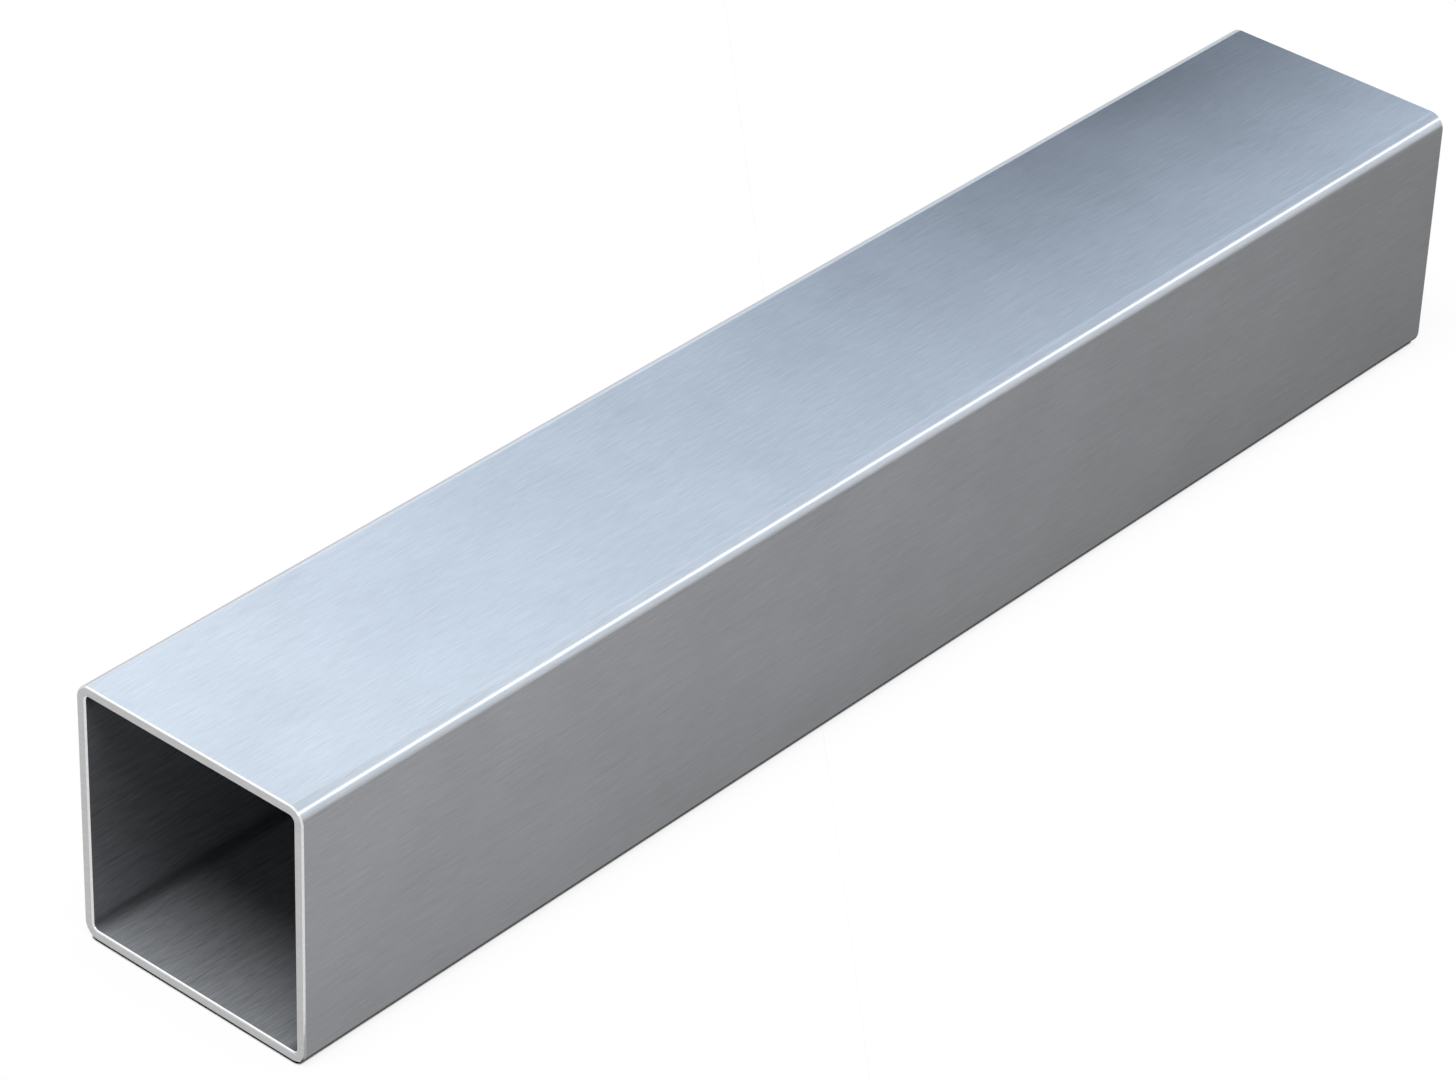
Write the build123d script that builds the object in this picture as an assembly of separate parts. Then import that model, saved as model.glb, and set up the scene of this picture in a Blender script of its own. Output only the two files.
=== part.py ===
from build123d import *
import os

# Square steel box section, one cut length of cold-formed stock: a strip rolled into a
# rounded square with a rounded square bore, sawn square at both ends and deburred.
#
# The tube lies on one of its flat sides. Millimetres, +Z up, the length along X.
# The origin is the middle of the underside.

# Driving dimensions
LENGTH = 300.0              # saw cut to saw cut
SIDE = 50.0                 # outside width, and height, of the square section
WALL = 2.0                  # thickness of the strip
BORE_CORNER_RADIUS = 1.0    # inside of the bends
EDGE_BREAK = 0.3            # deburring chamfer on the four rims of the two ends

# The strip keeps its thickness round the bend, so both radii share one centre.
OUTER_CORNER_RADIUS = BORE_CORNER_RADIUS + WALL
BORE_SIDE = SIDE - 2 * WALL


def square_bar(side, corner_radius):
    """A rounded square bar of the tube's length, centred on its axis."""
    section = Plane.YZ.offset(-LENGTH / 2) * RectangleRounded(side, side, corner_radius)
    return extrude(section, amount=LENGTH)


def end_rims(tube):
    """The edges round the outside and round the bore of both sawn ends."""
    ends = [tube.faces().sort_by(Axis.X)[0], tube.faces().sort_by(Axis.X)[-1]]
    return [edge for end in ends for edge in end.edges()]


def make_square_tube():
    """The whole length of stock, lifted so that its underside is at Z = 0."""
    tube = square_bar(SIDE, OUTER_CORNER_RADIUS) - square_bar(BORE_SIDE, BORE_CORNER_RADIUS)
    tube = chamfer(end_rims(tube), EDGE_BREAK)
    return Pos(0, 0, SIDE / 2) * tube


os.makedirs("parts", exist_ok=True)
export_step(make_square_tube(), "parts/square_tube.step")
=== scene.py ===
"""Looks of a length of square steel tube: brushed sides, sawn ends, deburred rims and a dull bore.

Everything is in metres, in the part's own frame: the length along X, the tube lying on its
underside at Z = 0, the end that shows at -X and the long side that shows at -Y.
"""

import bpy
import numpy as np
from mathutils import Matrix, Vector


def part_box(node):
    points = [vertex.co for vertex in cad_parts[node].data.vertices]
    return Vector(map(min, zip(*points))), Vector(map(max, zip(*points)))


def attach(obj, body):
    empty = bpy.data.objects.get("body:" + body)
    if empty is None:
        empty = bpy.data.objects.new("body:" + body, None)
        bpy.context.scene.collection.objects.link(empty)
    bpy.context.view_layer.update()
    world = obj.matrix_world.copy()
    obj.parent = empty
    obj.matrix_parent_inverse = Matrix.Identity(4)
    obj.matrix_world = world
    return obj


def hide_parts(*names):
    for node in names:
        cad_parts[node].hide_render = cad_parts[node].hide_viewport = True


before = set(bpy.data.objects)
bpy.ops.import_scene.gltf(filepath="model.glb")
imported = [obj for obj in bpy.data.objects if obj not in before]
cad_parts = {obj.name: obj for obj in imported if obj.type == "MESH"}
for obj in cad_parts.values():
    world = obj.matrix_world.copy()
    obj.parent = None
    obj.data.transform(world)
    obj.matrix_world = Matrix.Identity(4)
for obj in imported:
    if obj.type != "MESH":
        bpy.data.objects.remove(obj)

# ---------------------------------------------------------------- sizes of the section

LOW, HIGH = (Vector(corner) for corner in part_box("square_tube"))
LENGTH = HIGH.x - LOW.x
SIDE = HIGH.z - LOW.z
WALL = 0.002
OUTER_RADIUS = 0.003
EDGE_BREAK = 0.0003
RIM_ROUNDING = 1.25         # 1 is a flat chamfer, 2 a quarter circle

# how finely the surface is divided
BEND_STEPS = 24             # round each bend
FLAT_STEPS = 12             # across each flat
LENGTH_STEPS = 60           # along the outside and along the bore
RIM_STEPS = 6               # across each deburred rim
CUT_STEPS = 4               # across each sawn face

# the order of the tube's materials
BRUSHED, RIM, SAWN, DULL = range(4)


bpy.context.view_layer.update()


# ---------------------------------------------------------------- the tube's mesh

def around_section():
    """The section's centre path and its outward normals, once round.

    The path is a square through the four bend centres. On a flat the point slides from one
    bend centre to the next and the normal stands still; at a bend the point stands still and
    the normal turns by a quarter. Every skin of the tube, outer or inner, is the path plus
    its own radius times the normal, so the strip keeps its thickness round the bends.
    """
    reach = SIDE / 2 - OUTER_RADIUS
    centres = reach * np.array([[-1, 1], [1, 1], [1, -1], [-1, -1]])
    path, normal = [], []
    for k in range(4):
        start, end = centres[k - 1], centres[k]
        # the flat that leads up to this bend faces the angle that the bend starts from
        facing = np.pi - k * np.pi / 2
        along = np.linspace(0, 1, FLAT_STEPS, endpoint=False)[:, None]
        path.append(start + along * (end - start))
        normal.append(np.tile([np.cos(facing), np.sin(facing)], (FLAT_STEPS, 1)))
        turn = facing - np.linspace(0, np.pi / 2, BEND_STEPS, endpoint=False)
        path.append(np.tile(end, (BEND_STEPS, 1)))
        normal.append(np.stack([np.cos(turn), np.sin(turn)], axis=1))
    return np.concatenate(path), np.concatenate(normal)


def rim(angle):
    """A deburred rim, as the angle goes from 0 at the side of the tube to a right angle at the cut.

    A quarter of a superellipse. Gives how far it has gone along the tube and how far it has sunk
    into the wall, both from 0 to the edge break, and which way it faces, along and outwards.
    """
    sine, cosine = np.sin(angle), np.cos(angle)
    power = 2 / RIM_ROUNDING
    facing = np.stack([sine ** (2 - power), cosine ** (2 - power)], axis=1)
    facing /= np.linalg.norm(facing, axis=1, keepdims=True)
    return EDGE_BREAK * sine ** power, EDGE_BREAK * (1 - cosine ** power), facing


def along_wall():
    """One closed loop round the wall, as rows of x, depth, facing along, facing outwards, finish.

    It runs along the outside, over the far rim, across the far cut face and over the bore's rim.
    The way back is the same half loop turned round: x and the depth are mirrored, so is the
    facing, and the brushed outside becomes the dull bore.
    """
    end = LENGTH / 2
    quarter = np.linspace(0, np.pi / 2, RIM_STEPS, endpoint=False)
    forth, sunk, facing = rim(quarter)
    forth_in, sunk_in, facing_in = rim(np.pi / 2 - quarter)

    def rows(x, depth, along, outwards, finish):
        return np.stack(np.broadcast_arrays(x, depth, along, outwards, finish), axis=1).astype(float)

    straight = np.linspace(-end + EDGE_BREAK, end - EDGE_BREAK, LENGTH_STEPS, endpoint=False)
    cut = np.linspace(EDGE_BREAK, WALL - EDGE_BREAK, CUT_STEPS, endpoint=False)
    shoulder = end - EDGE_BREAK
    half = np.concatenate([
        rows(straight, 0, 0, 1, BRUSHED),
        rows(shoulder + forth, sunk, facing[:, 0], facing[:, 1], RIM),
        rows(end, cut, 1, 0, SAWN),
        rows(shoulder + forth_in, WALL - sunk_in, facing_in[:, 0], -facing_in[:, 1], RIM),
    ])
    back = half * [-1, -1, -1, -1, 1] + [0, WALL, 0, 0, 0]
    back[half[:, 4] == BRUSHED, 4] = DULL
    return np.concatenate([half, back])


def make_tube():
    """The tube's skin: a grid, once round the section by once round the wall, closed both ways.

    A point is the section's path plus (outer radius less depth) times its normal, at that x.
    The surface faces along X by the first share and along the section's normal by the second.
    """
    path, normal = around_section()
    x, depth, along, outwards, finish = along_wall().T
    rows, columns = len(x), len(path)

    def grid(first, rest):
        """A vector for each point of the grid from its X part and its part across the tube."""
        return np.concatenate([np.broadcast_to(first[:, None, None], (rows, columns, 1)), rest], axis=2)

    radius = (OUTER_RADIUS - depth)[:, None, None]
    points = grid(x, path[None] + radius * normal[None]) + [0, 0, SIDE / 2]
    facing = grid(along, outwards[:, None, None] * normal[None])

    row, column = np.meshgrid(np.arange(rows), np.arange(columns), indexing="ij")
    corners = [(row, column), (row + 1, column), (row + 1, column + 1), (row, column + 1)]
    faces = np.stack([(r % rows * columns + c % columns).ravel() for r, c in corners], axis=1)
    # a map that runs along the tube and round it, for the direction of the brushing
    lengthwise = np.stack([np.stack([x[r % rows].ravel(), c.ravel() / columns], axis=1) for r, c in corners],
                          axis=1)

    mesh = bpy.data.meshes.new("tube")
    mesh.from_pydata(points.reshape(-1, 3), [], faces)
    mesh.polygons.foreach_set("material_index", np.repeat(finish, columns).astype(np.int32))
    mesh.polygons.foreach_set("use_smooth", np.ones(len(faces), dtype=bool))
    mesh.uv_layers.new(name="lengthwise").data.foreach_set("uv", lengthwise.ravel())
    mesh.normals_split_custom_set_from_vertices(facing.reshape(-1, 3))
    tube = bpy.data.objects.new("square_steel_tube", mesh)
    bpy.context.scene.collection.objects.link(tube)
    return tube


# ---------------------------------------------------------------- material helpers

class Nodes:
    """Adds nodes to a tree and links them."""

    def __init__(self, tree):
        self.tree = tree

    def add(self, kind, inputs=None, **settings):
        """A node of that kind; inputs are numbers, colours or sockets, by socket name or number."""
        node = self.tree.nodes.new(kind)
        for name, value in settings.items():
            setattr(node, name, value)
        self.feed(node, inputs or {})
        return node

    def feed(self, node, inputs):
        """Links or sets that node's inputs, whichever each of the values calls for."""
        for name, value in inputs.items():
            if isinstance(value, bpy.types.NodeSocket):
                self.tree.links.new(value, node.inputs[name])
            else:
                node.inputs[name].default_value = value

    def group(self, group, **inputs):
        """A placed node group, with its inputs by name, underscores for spaces."""
        return self.add("ShaderNodeGroup", {name.replace("_", " "): value for name, value in inputs.items()},
                        node_tree=group)

    def ramp(self, factor, stops):
        """A colour ramp with (place, colour) stops."""
        node = self.add("ShaderNodeValToRGB", {"Fac": factor})
        elements = node.color_ramp.elements
        while len(elements) < len(stops):
            elements.new(0.5)
        for element, (place, colour) in zip(elements, stops):
            element.position = place
            element.color = (*colour, 1)
        return node.outputs["Color"]

    def blend(self, share, first, second):
        """The first value with that share of it replaced by the second."""
        return self.add("ShaderNodeMix", {"Factor": share, "A": first, "B": second}).outputs["Result"]

    def span(self, value, low, high, start=0.0, stop=1.0):
        """Low where the value is at start, high where it is at stop, and evenly in between."""
        node = self.add("ShaderNodeMapRange", {
            "Value": value, "From Min": start, "From Max": stop, "To Min": low, "To Max": high})
        return node.outputs["Result"]

    def scale(self, colour, share):
        """A colour times a number."""
        return self.add("ShaderNodeVectorMath", {0: colour, "Scale": share}, operation="SCALE").outputs[0]

    def vector(self, operation, first, second=None):
        """The outputs of a vector sum or product, or whatever else the operation names."""
        inputs = {0: first} if second is None else {0: first, 1: second}
        return self.add("ShaderNodeVectorMath", inputs, operation=operation).outputs

    def parts(self, vector):
        """The X, Y and Z of a vector, by name."""
        return self.add("ShaderNodeSeparateXYZ", {"Vector": vector}).outputs


def new_group(name, inputs, outputs):
    """An empty shader node group with its sockets: its tree, its nodes, its inlet and its outlet."""
    tree = bpy.data.node_groups.new(name, "ShaderNodeTree")
    for label, kind, value in inputs:
        socket = tree.interface.new_socket(label, in_out="INPUT", socket_type=kind)
        if value is not None:
            socket.default_value = value
    for label, kind in outputs:
        tree.interface.new_socket(label, in_out="OUTPUT", socket_type=kind)
    nodes = Nodes(tree)
    inlet = nodes.add("NodeGroupInput")
    outlet = nodes.add("NodeGroupOutput")
    return tree, nodes, inlet, outlet


BROAD_SCALE = 0.22          # how many broad hairlines there are to a fine one


def hairline_group():
    """Hairlines: noise drawn out along X, in a fine and a broader layer.

    Both layers are 0 to 1 with a middle of 0.5. Drawn out is how many times longer than wide
    a line is.
    """
    tree, nodes, inlet, outlet = new_group(
        "hairlines",
        [("Vector", "NodeSocketVector", None),
         ("Lines per metre", "NodeSocketFloat", 4000.0),
         ("Drawn out", "NodeSocketFloat", 40.0)],
        [("Fine", "NodeSocketFloat"), ("Broad", "NodeSocketFloat")])
    across = inlet.outputs["Lines per metre"]
    along = nodes.add("ShaderNodeMath", {0: across, 1: inlet.outputs["Drawn out"]}, operation="DIVIDE")
    stretch = nodes.add("ShaderNodeCombineXYZ", {"X": along.outputs[0], "Y": across, "Z": across})
    drawn = nodes.vector("MULTIPLY", inlet.outputs["Vector"], stretch.outputs[0])[0]
    for name, scale in (("Fine", 1.0), ("Broad", BROAD_SCALE)):
        noise = nodes.add("ShaderNodeTexNoise",
                          {"Vector": drawn, "Scale": scale, "Detail": 3.0, "Roughness": 0.6})
        nodes.feed(outlet, {name: noise.outputs["Fac"]})
    return tree


def cloud_group():
    """Slow soft patches, 0 to 1, where the brushing bites a little more or less."""
    tree, nodes, inlet, outlet = new_group(
        "soft_patches",
        [("Vector", "NodeSocketVector", None), ("Patches per metre", "NodeSocketFloat", 30.0)],
        [("Patches", "NodeSocketFloat")])
    noise = nodes.add("ShaderNodeTexNoise",
                      {"Vector": inlet.outputs["Vector"], "Scale": inlet.outputs["Patches per metre"],
                       "Detail": 4.0, "Roughness": 0.55})
    nodes.feed(outlet, {"Patches": noise.outputs["Fac"]})
    return tree


HAIRLINES = hairline_group()
PATCHES = cloud_group()

BRUSHING_TURN = (0.0, 0.02, 0.01)   # the belt ran a degree or so off the tube's length; radians
ANISOTROPY = 0.3                    # how far the brushing draws a reflection out
RELIEF = 0.00002                    # depth of the hairlines, before each metal's own strength
TROUGH, CREST = 0.25, 0.75          # nearly all of a hairline layer lies between these
COOL = (0.97, 1.0, 1.045)           # the faint blue of the brushed steel
BLUISH = (0.96, 1.0, 1.06)          # the stronger blue of the rolled skin
SKIN_METALLIC = 0.25                # the rolled skin is part oxide
CORNER_SHADE = 0.5                   # how dark the painted shade in the bore's corners gets beside its walls
CORNER_START = 0.0026               # how far from the next wall the painted shade in the bore's corners begins
CORNER_END = 0.0005                 # and where they are darkest


def grey(level, tint=(1.0, 1.0, 1.0)):
    """A linear grey of that level with a tint."""
    return tuple(level * part for part in tint)


def metal(name, metallic=1.0, anisotropic=0.0):
    """An empty metal: its material, its nodes, its shader and Object coordinates along the brushing."""
    material = bpy.data.materials.new(name)
    material.use_nodes = True
    nodes = Nodes(material.node_tree)
    shader = material.node_tree.nodes["Principled BSDF"]
    nodes.feed(shader, {"Metallic": metallic, "Anisotropic": anisotropic})
    place = nodes.add("ShaderNodeTexCoord")
    turned = nodes.add("ShaderNodeMapping", {"Vector": place.outputs["Object"], "Rotation": BRUSHING_TURN})
    return material, nodes, shader, turned.outputs["Vector"]


def relief(nodes, height, strength):
    """The surface's normal, with hairlines of that height cut into it."""
    return nodes.add("ShaderNodeBump", {
        "Height": height, "Strength": strength, "Distance": RELIEF}).outputs["Normal"]


def lengthwise(nodes):
    """The direction of the brushing, along the tube, for its drawn-out reflections."""
    return nodes.add("ShaderNodeTangent", direction_type="UV_MAP", uv_map="lengthwise").outputs["Tangent"]


def brushed_steel():
    """The outside: fine hairlines along the tube and faint patches, in colour, gloss and relief."""
    material, nodes, shader, place = metal("brushed_steel", anisotropic=ANISOTROPY)
    lines = nodes.group(HAIRLINES, Vector=place, Lines_per_metre=5400.0, Drawn_out=24.0).outputs
    patches = nodes.group(PATCHES, Vector=place, Patches_per_metre=45.0).outputs["Patches"]
    both = nodes.blend(0.26, lines["Fine"], lines["Broad"])
    tone = nodes.blend(0.30, both, patches)
    nodes.feed(shader, {
        "Base Color": nodes.ramp(tone, [(TROUGH, grey(0.415, COOL)), (CREST, grey(0.575, COOL))]),
        "Roughness": nodes.span(patches, 0.20, 0.24),
        "Normal": relief(nodes, both, 0.04),
        "Tangent": lengthwise(nodes),
    })
    return material


def sawn_steel():
    """The cut faces: fine level saw lines over a satin grey."""
    material, nodes, shader, place = metal("sawn_steel")
    # the blade travelled across the tube, so the lines lie along Y
    turned = nodes.add("ShaderNodeMapping", {"Vector": place, "Rotation": (0.0, 0.0, np.pi / 2)})
    lines = nodes.group(HAIRLINES, Vector=turned.outputs[0], Lines_per_metre=4500.0, Drawn_out=12.0).outputs
    nodes.feed(shader, {
        "Base Color": nodes.ramp(lines["Fine"], [(TROUGH, grey(0.44)), (CREST, grey(0.54))]),
        "Roughness": nodes.span(lines["Broad"], 0.34, 0.5),
        "Normal": relief(nodes, lines["Fine"], 0.15),
    })
    return material


def deburred_steel():
    """The rims: a narrow bright facet left by the deburring wheel."""
    material, nodes, shader, place = metal("deburred_steel")
    lines = nodes.group(HAIRLINES, Vector=place, Lines_per_metre=1500.0, Drawn_out=1.0).outputs
    nodes.feed(shader, {
        "Base Color": nodes.ramp(lines["Fine"], [(0.3, grey(0.66)), (0.7, grey(0.74))]),
        "Roughness": nodes.span(lines["Broad"], 0.15, 0.26),
    })
    return material


def painted_corner_shade(nodes):
    """Painted shade: 1 on the walls of the bore, falling to the set corner level where its walls meet.

    Every point of the bore lies on a wall, as far out from one middle plane as the wall is. Its
    distance from the other middle plane, the smaller of the two, says how near a corner is.
    """
    place = nodes.add("ShaderNodeTexCoord").outputs["Object"]
    centred = nodes.vector("SUBTRACT", place, (0, 0, SIDE / 2))[0]
    off = nodes.parts(nodes.vector("ABSOLUTE", centred)[0])
    nearer = nodes.add("ShaderNodeMath", {0: off["Y"], 1: off["Z"]}, operation="MINIMUM").outputs[0]
    reach = SIDE / 2 - WALL
    return nodes.span(nearer, 1.0, CORNER_SHADE, start=reach - CORNER_START, stop=reach - CORNER_END)


def dull_steel():
    """The bore: the strip's own dull rolled skin, part oxide, with the same lengthwise lines."""
    material, nodes, shader, place = metal("dull_steel", SKIN_METALLIC, ANISOTROPY)
    lines = nodes.group(HAIRLINES, Vector=place, Lines_per_metre=7400.0, Drawn_out=30.0).outputs
    patches = nodes.group(PATCHES, Vector=place, Patches_per_metre=40.0).outputs["Patches"]
    both = nodes.blend(0.32, lines["Fine"], lines["Broad"])
    skin = nodes.ramp(both, [(TROUGH, grey(0.175, BLUISH)), (CREST, grey(0.52, BLUISH))])
    nodes.feed(shader, {
        # the bore's colour is darkened into its corners: painted shade
        "Base Color": nodes.scale(skin, painted_corner_shade(nodes)),
        "Roughness": nodes.span(patches, 0.28, 0.38),
        "Normal": relief(nodes, both, 0.2),
        "Tangent": lengthwise(nodes),
    })
    return material


# ---------------------------------------------------------------- the studio

# Azimuths are in degrees from +X towards +Y, elevations in degrees above the floor.
CAMERA_AZIMUTH = -139.99
CAMERA_ELEVATION = 33.83
CAMERA_ROLL = 2.28
CAMERA_DISTANCE = 0.96695
CAMERA_TARGET = Vector((-0.01281, 0.00813, 0.01815))
SENSOR_WIDTH = 36.0         # millimetres, as the focal length is
FOCAL_LENGTH = 137.72

KEY_LIGHT = 0.98            # what the key light adds to a level surface
ZENITH_LIGHT = 0.09         # the surroundings' light from straight above; they add 0.06 to such a surface
KEY_AZIMUTH = 205
KEY_ELEVATION = 80
KEY_WIDTH = 40              # degrees of the sky that the key light takes up

FLOOR_SIZE = 40.0
FLOOR_WHITE = 0.96
FLOOR_BOUNCE = 0.22         # what the floor throws back at the tube
FLOOR_GLOW = 0.88           # share of the floor's white that the shadow doesn't reach
CONTACT_GAP = 0.0005        # how near the tube has to be for the floor's painted contact shadow to turn it dark

UP = (0, 0, 1)
DOWN = (0, 0, -1)


def towards(azimuth, elevation):
    """The direction that lies at that azimuth and elevation."""
    around, above = np.radians([azimuth, elevation])
    return Vector((np.cos(around) * np.cos(above), np.sin(around) * np.cos(above), np.sin(above)))


def add_camera():
    """A long lens that looks down the tube from its open end."""
    back = towards(CAMERA_AZIMUTH, CAMERA_ELEVATION)
    level = Vector(UP).cross(back).normalized()
    upright = back.cross(level)
    roll = np.radians(CAMERA_ROLL)
    right = np.cos(roll) * level + np.sin(roll) * upright
    up = np.cos(roll) * upright - np.sin(roll) * level
    lens = bpy.data.cameras.new("camera")
    lens.sensor_fit = "HORIZONTAL"
    lens.sensor_width = SENSOR_WIDTH
    lens.lens = FOCAL_LENGTH
    lens.clip_start = 0.01
    lens.clip_end = 100
    camera = bpy.data.objects.new("camera", lens)
    turn = Matrix((right, up, back)).transposed().to_4x4()
    camera.matrix_world = Matrix.Translation(CAMERA_TARGET + CAMERA_DISTANCE * back) @ turn
    bpy.context.scene.collection.objects.link(camera)
    bpy.context.scene.camera = camera


def seen_directly(nodes):
    """1 for camera, glossy and transmission rays, 0 for the rays that only carry light."""
    rays = nodes.add("ShaderNodeLightPath").outputs
    seen = rays["Is Camera Ray"]
    for kind in ("Is Glossy Ray", "Is Transmission Ray"):
        seen = nodes.add("ShaderNodeMath", {0: seen, 1: rays[kind]}, operation="MAXIMUM").outputs[0]
    return seen


def add_world():
    """White surroundings whose soft light comes mostly from above."""
    world = bpy.data.worlds.new("surroundings")
    world.use_nodes = True
    bpy.context.scene.world = world
    nodes = Nodes(world.node_tree)
    direction = nodes.add("ShaderNodeTexCoord").outputs["Generated"]
    light = nodes.span(nodes.parts(direction)["Z"], 0.0, ZENITH_LIGHT)
    nodes.feed(world.node_tree.nodes["Background"], {
        "Color": (1, 1, 1, 1),
        "Strength": nodes.span(seen_directly(nodes), light, 1.0),
    })


def add_key():
    """One broad soft key light, high over the open end."""
    sun = bpy.data.lights.new("key", "SUN")
    sun.angle = np.radians(KEY_WIDTH)
    sun.energy = KEY_LIGHT * np.pi / np.sin(np.radians(KEY_ELEVATION))
    key = bpy.data.objects.new("key", sun)
    key.rotation_euler = towards(KEY_AZIMUTH, KEY_ELEVATION).to_track_quat("Z", "Y").to_euler()
    key.visible_glossy = False
    bpy.context.scene.collection.objects.link(key)


def bare_material(name):
    """A material without a shader: itself, its nodes and its output node."""
    material = bpy.data.materials.new(name)
    material.use_nodes = True
    tree = material.node_tree
    tree.nodes.remove(tree.nodes["Principled BSDF"])
    return material, Nodes(tree), tree.nodes["Material Output"]


def plane(name, low, high, height, material, normal):
    """A level stage piece from one corner to the other, facing along its normal."""
    centre = Vector(((low[0] + high[0]) / 2, (low[1] + high[1]) / 2, height))
    half = [(high[0] - low[0]) / 2, (high[1] - low[1]) / 2, 0]
    turn = Vector(normal).to_track_quat("Z", "Y").to_matrix()
    corners = np.array([[-1, -1, 0], [1, -1, 0], [1, 1, 0], [-1, 1, 0]]) * half
    mesh = bpy.data.meshes.new(name)
    mesh.from_pydata([turn @ Vector(corner) + centre for corner in corners], [], [(0, 1, 2, 3)])
    mesh.materials.append(material)
    card = bpy.data.objects.new(name, mesh)
    bpy.context.scene.collection.objects.link(card)
    return card


def add_floor():
    """A white floor that keeps the tube's soft shadow, with a painted contact shadow where the tube all but
    touches it.
    """
    material, nodes, output = bare_material("floor_white")
    # painted contact shadow: paint and glow both stop where the tube all but touches the floor, so the
    # contact stays dark
    painted_contact_shadow = nodes.add("ShaderNodeAmbientOcclusion", {"Distance": CONTACT_GAP}, samples=8)
    beyond_painted_shadow = nodes.span(painted_contact_shadow.outputs["AO"], 0.0, 1.0, start=0.5)
    seen = seen_directly(nodes)
    white = nodes.span(seen, FLOOR_BOUNCE, FLOOR_WHITE)
    paint = nodes.add("ShaderNodeBsdfDiffuse", {"Color": nodes.span(beyond_painted_shadow, 0.0, white)})
    glow = nodes.add("ShaderNodeEmission", {"Color": (1, 1, 1, 1), "Strength": 1.0})
    share = nodes.span(seen, 0.0, nodes.span(beyond_painted_shadow, 0.0, FLOOR_GLOW))
    mix = nodes.add("ShaderNodeMixShader", {"Fac": share, 1: paint.outputs[0], 2: glow.outputs[0]})
    nodes.feed(output, {"Surface": mix.outputs[0]})
    reach = FLOOR_SIZE / 2
    plane("floor", (-reach, -reach), (reach, reach), 0, material, UP)


# ---------------------------------------------------------------- the cards that the metal reflects

CARD_HEIGHT = 0.25
# the height of the card that paints the tube's shadow on the floor for the metal to reflect
PAINTED_SHADOW_CARD_HEIGHT = 0.0002
# the Y of the lines that part the cards, from the front to the back
FRONT = -4.00
STRIP_FRONT = -0.250
STRIP_BACK = -0.155
FOOT = -0.0237              # just under the tube's long side
OVERHEAD_BACK = 0.50
BORDER_BACK = 1.50

STRIP_BRIGHTNESS = 2.55
OVAL_CENTRE = (0.496, 0.268, 0.0)
OVAL_REACH = (0.482, 0.148, 1.0)    # from the centre to where the distance counts as 1
OVAL_TURN = 8.8                     # degrees from the tube's length
OVAL_END = 1.6                      # the distance at which the ovals stop changing
OVAL_FRONT = 0.16                   # the Y at which they stop changing towards the front
LOWEST = -9                         # below any place on the cards


def overhead_tone(nodes, place):
    """Pale blue, dimming in long slanting ovals towards a point beyond the tube's far end.

    Across, the tone stands still from OVAL_FRONT towards -Y and only sinks a little, so the
    long near edge stays as dark as the top beside it.
    """
    edge = nodes.span(nodes.parts(place)["Y"], 0.87, 1.0, start=0.02, stop=0.12)
    held = nodes.vector("MAXIMUM", place, (LOWEST, OVAL_FRONT, LOWEST))[0]
    moved = nodes.add("ShaderNodeMapping", {
        "Vector": held, "Location": OVAL_CENTRE, "Rotation": (0.0, 0.0, np.radians(OVAL_TURN)),
        "Scale": OVAL_REACH}, vector_type="TEXTURE")
    flat = nodes.vector("MULTIPLY", moved.outputs[0], (1, 1, 0))[0]
    distance = nodes.vector("LENGTH", flat)["Value"]
    tone = nodes.ramp(nodes.span(distance, 0.0, 1.0, stop=OVAL_END), [
        (0.000, (0.02, 0.02, 0.03)),
        (0.156, (0.05, 0.05, 0.09)),
        (0.312, (0.71, 0.84, 0.99)),
        (0.469, (1.07, 1.20, 1.38)),
        (0.625, (1.45, 1.59, 1.73)),
        (0.900, (1.07, 1.13, 1.20)),
        (1.000, (1.55, 1.60, 1.65)),
    ])
    return nodes.scale(tone, edge)


def strip_tone(nodes, place):
    """White, for the line on the long near edge."""
    return (*grey(STRIP_BRIGHTNESS), 1)


def skirt_tone(nodes, place):
    """Pale blue that fades to grey away from the strip."""
    away = nodes.span(nodes.parts(place)["Y"], 0.0, 1.0, start=STRIP_FRONT, stop=FRONT)
    return nodes.ramp(away, [
        (0.00, (1.12, 1.20, 1.30)),
        (0.15, (1.05, 1.11, 1.17)),
        (0.36, (0.92, 0.95, 1.00)),
        (1.00, (0.77, 0.79, 0.80)),
    ])


def border_tone(nodes, place):
    """Bright, for the line on the long far edge, and less so towards the far end."""
    along = nodes.span(nodes.parts(place)["X"], 0.0, 1.0, start=0.40, stop=0.85)
    return nodes.ramp(along, [(0.0, (1.67, 1.73, 1.80)), (1.0, (0.87, 0.90, 0.93))])


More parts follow.
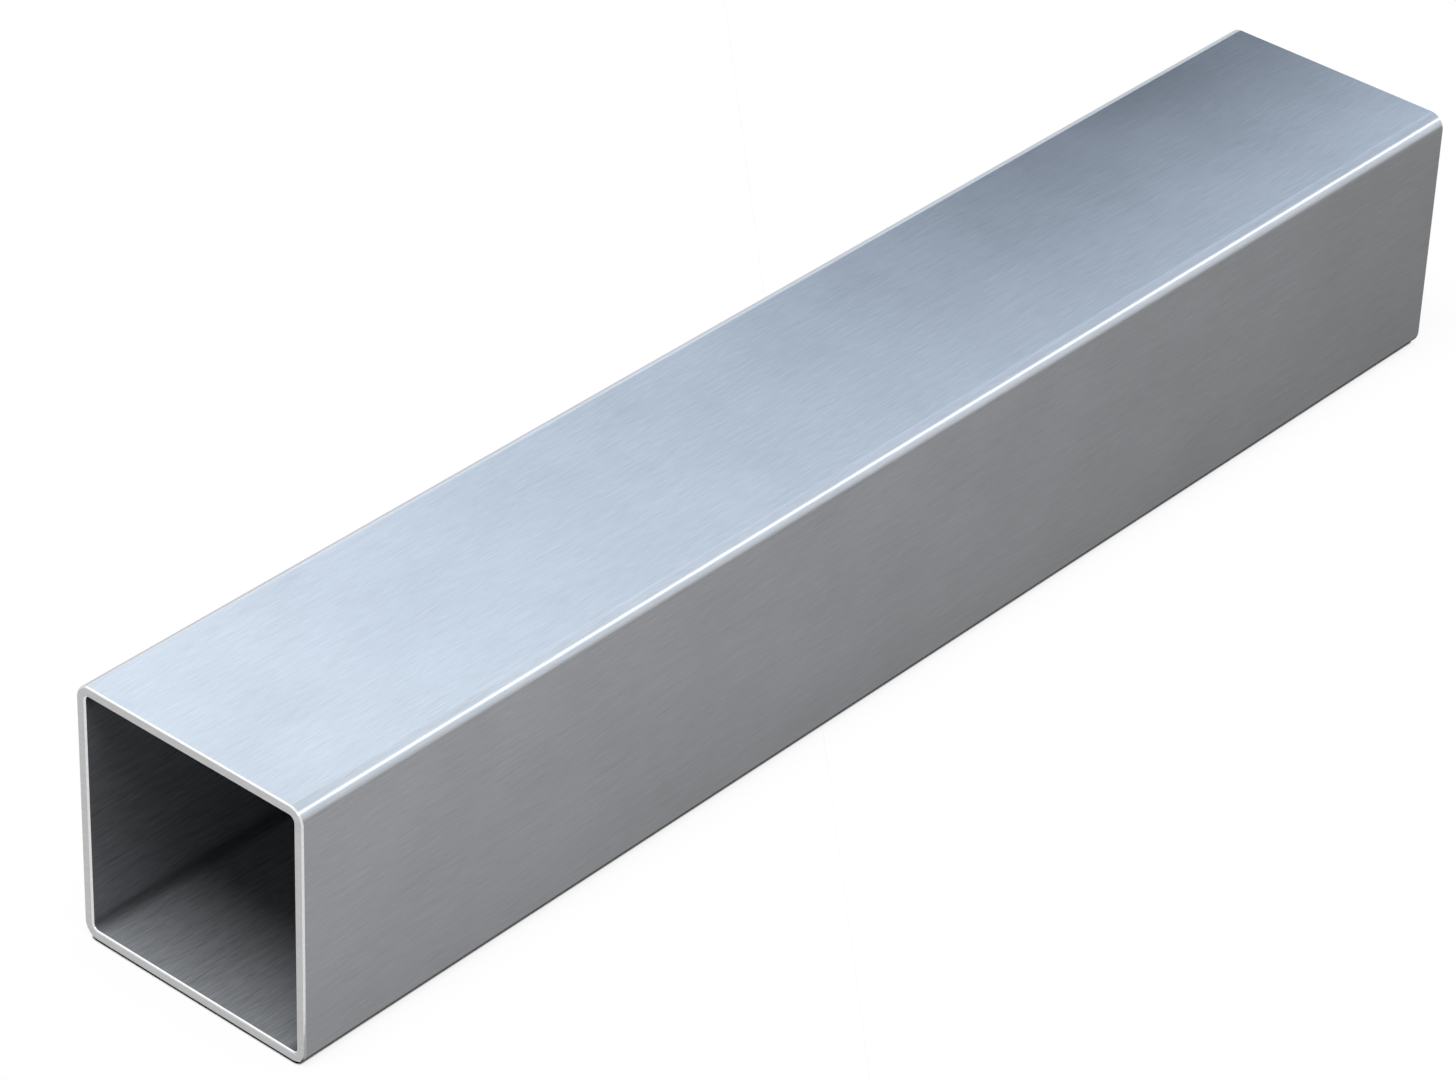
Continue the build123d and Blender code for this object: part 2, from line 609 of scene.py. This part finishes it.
def painted_shadow_tone(nodes, place):
    """Painted shadow of the tube, seen only in the metal: near black at its foot and grey away from it,
    deeper towards the far end.

    Further out the grey stops deepening along the tube.
    """
    parts = nodes.parts(place)
    along = nodes.span(parts["X"], 0.63, 0.41, start=-0.15, stop=0.20)
    beyond = nodes.span(parts["Y"], 0.0, 1.0, start=-0.11, stop=-0.60)
    level = nodes.blend(beyond, along, 0.65)
    away = nodes.span(parts["Y"], 0.0, 1.0, start=FOOT, stop=-0.072)
    across = nodes.ramp(away, [
        (0.000, grey(0.06)),
        (0.010, grey(0.10)),
        (0.032, grey(0.74)),
        (0.350, grey(0.86)),
        (1.000, grey(1.00)),
    ])
    return nodes.scale(across, level)


def add_card(name, low, high, height, tone_of, normal):
    """A level glowing card from one corner to the other, which shows in the metal and nowhere else.

    tone_of makes its colour from the material's nodes and its Object coordinates.
    """
    material, nodes, output = bare_material(name)
    tone = tone_of(nodes, nodes.add("ShaderNodeTexCoord").outputs["Object"])
    glow = nodes.add("ShaderNodeEmission", {"Color": tone, "Strength": 1.0})
    nodes.feed(output, {"Surface": glow.outputs[0]})
    card = plane(name, low, high, height, material, normal)
    card.visible_camera = False
    card.visible_diffuse = False
    card.visible_shadow = False
    card.visible_transmission = False


def add_cards():
    """The cards: over the tube, along its two long top edges, and a painted shadow on the floor at its foot.
    """
    add_card("overhead_card", (-0.50, STRIP_BACK), (1.20, OVERHEAD_BACK), CARD_HEIGHT, overhead_tone, DOWN)
    add_card("strip_card", (-0.80, STRIP_FRONT), (1.20, STRIP_BACK), CARD_HEIGHT, strip_tone, DOWN)
    add_card("skirt_card", (-0.80, FRONT), (4.00, STRIP_FRONT), CARD_HEIGHT, skirt_tone, DOWN)
    add_card("border_card", (0.20, OVERHEAD_BACK), (2.50, BORDER_BACK), CARD_HEIGHT, border_tone, DOWN)
    # a painted shadow of the tube on the floor, which only the metal shows
    add_card("painted_shadow_card", (-0.157, FRONT), (4.00, FOOT), PAINTED_SHADOW_CARD_HEIGHT, painted_shadow_tone, UP)


# ---------------------------------------------------------------- putting it together

add_camera()
add_world()
add_key()
add_floor()
add_cards()

tube = make_tube()
for material in (brushed_steel(), deburred_steel(), sawn_steel(), dull_steel()):
    tube.data.materials.append(material)
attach(tube, "root")
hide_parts("square_tube")

bpy.context.scene.view_settings.view_transform = "Standard"
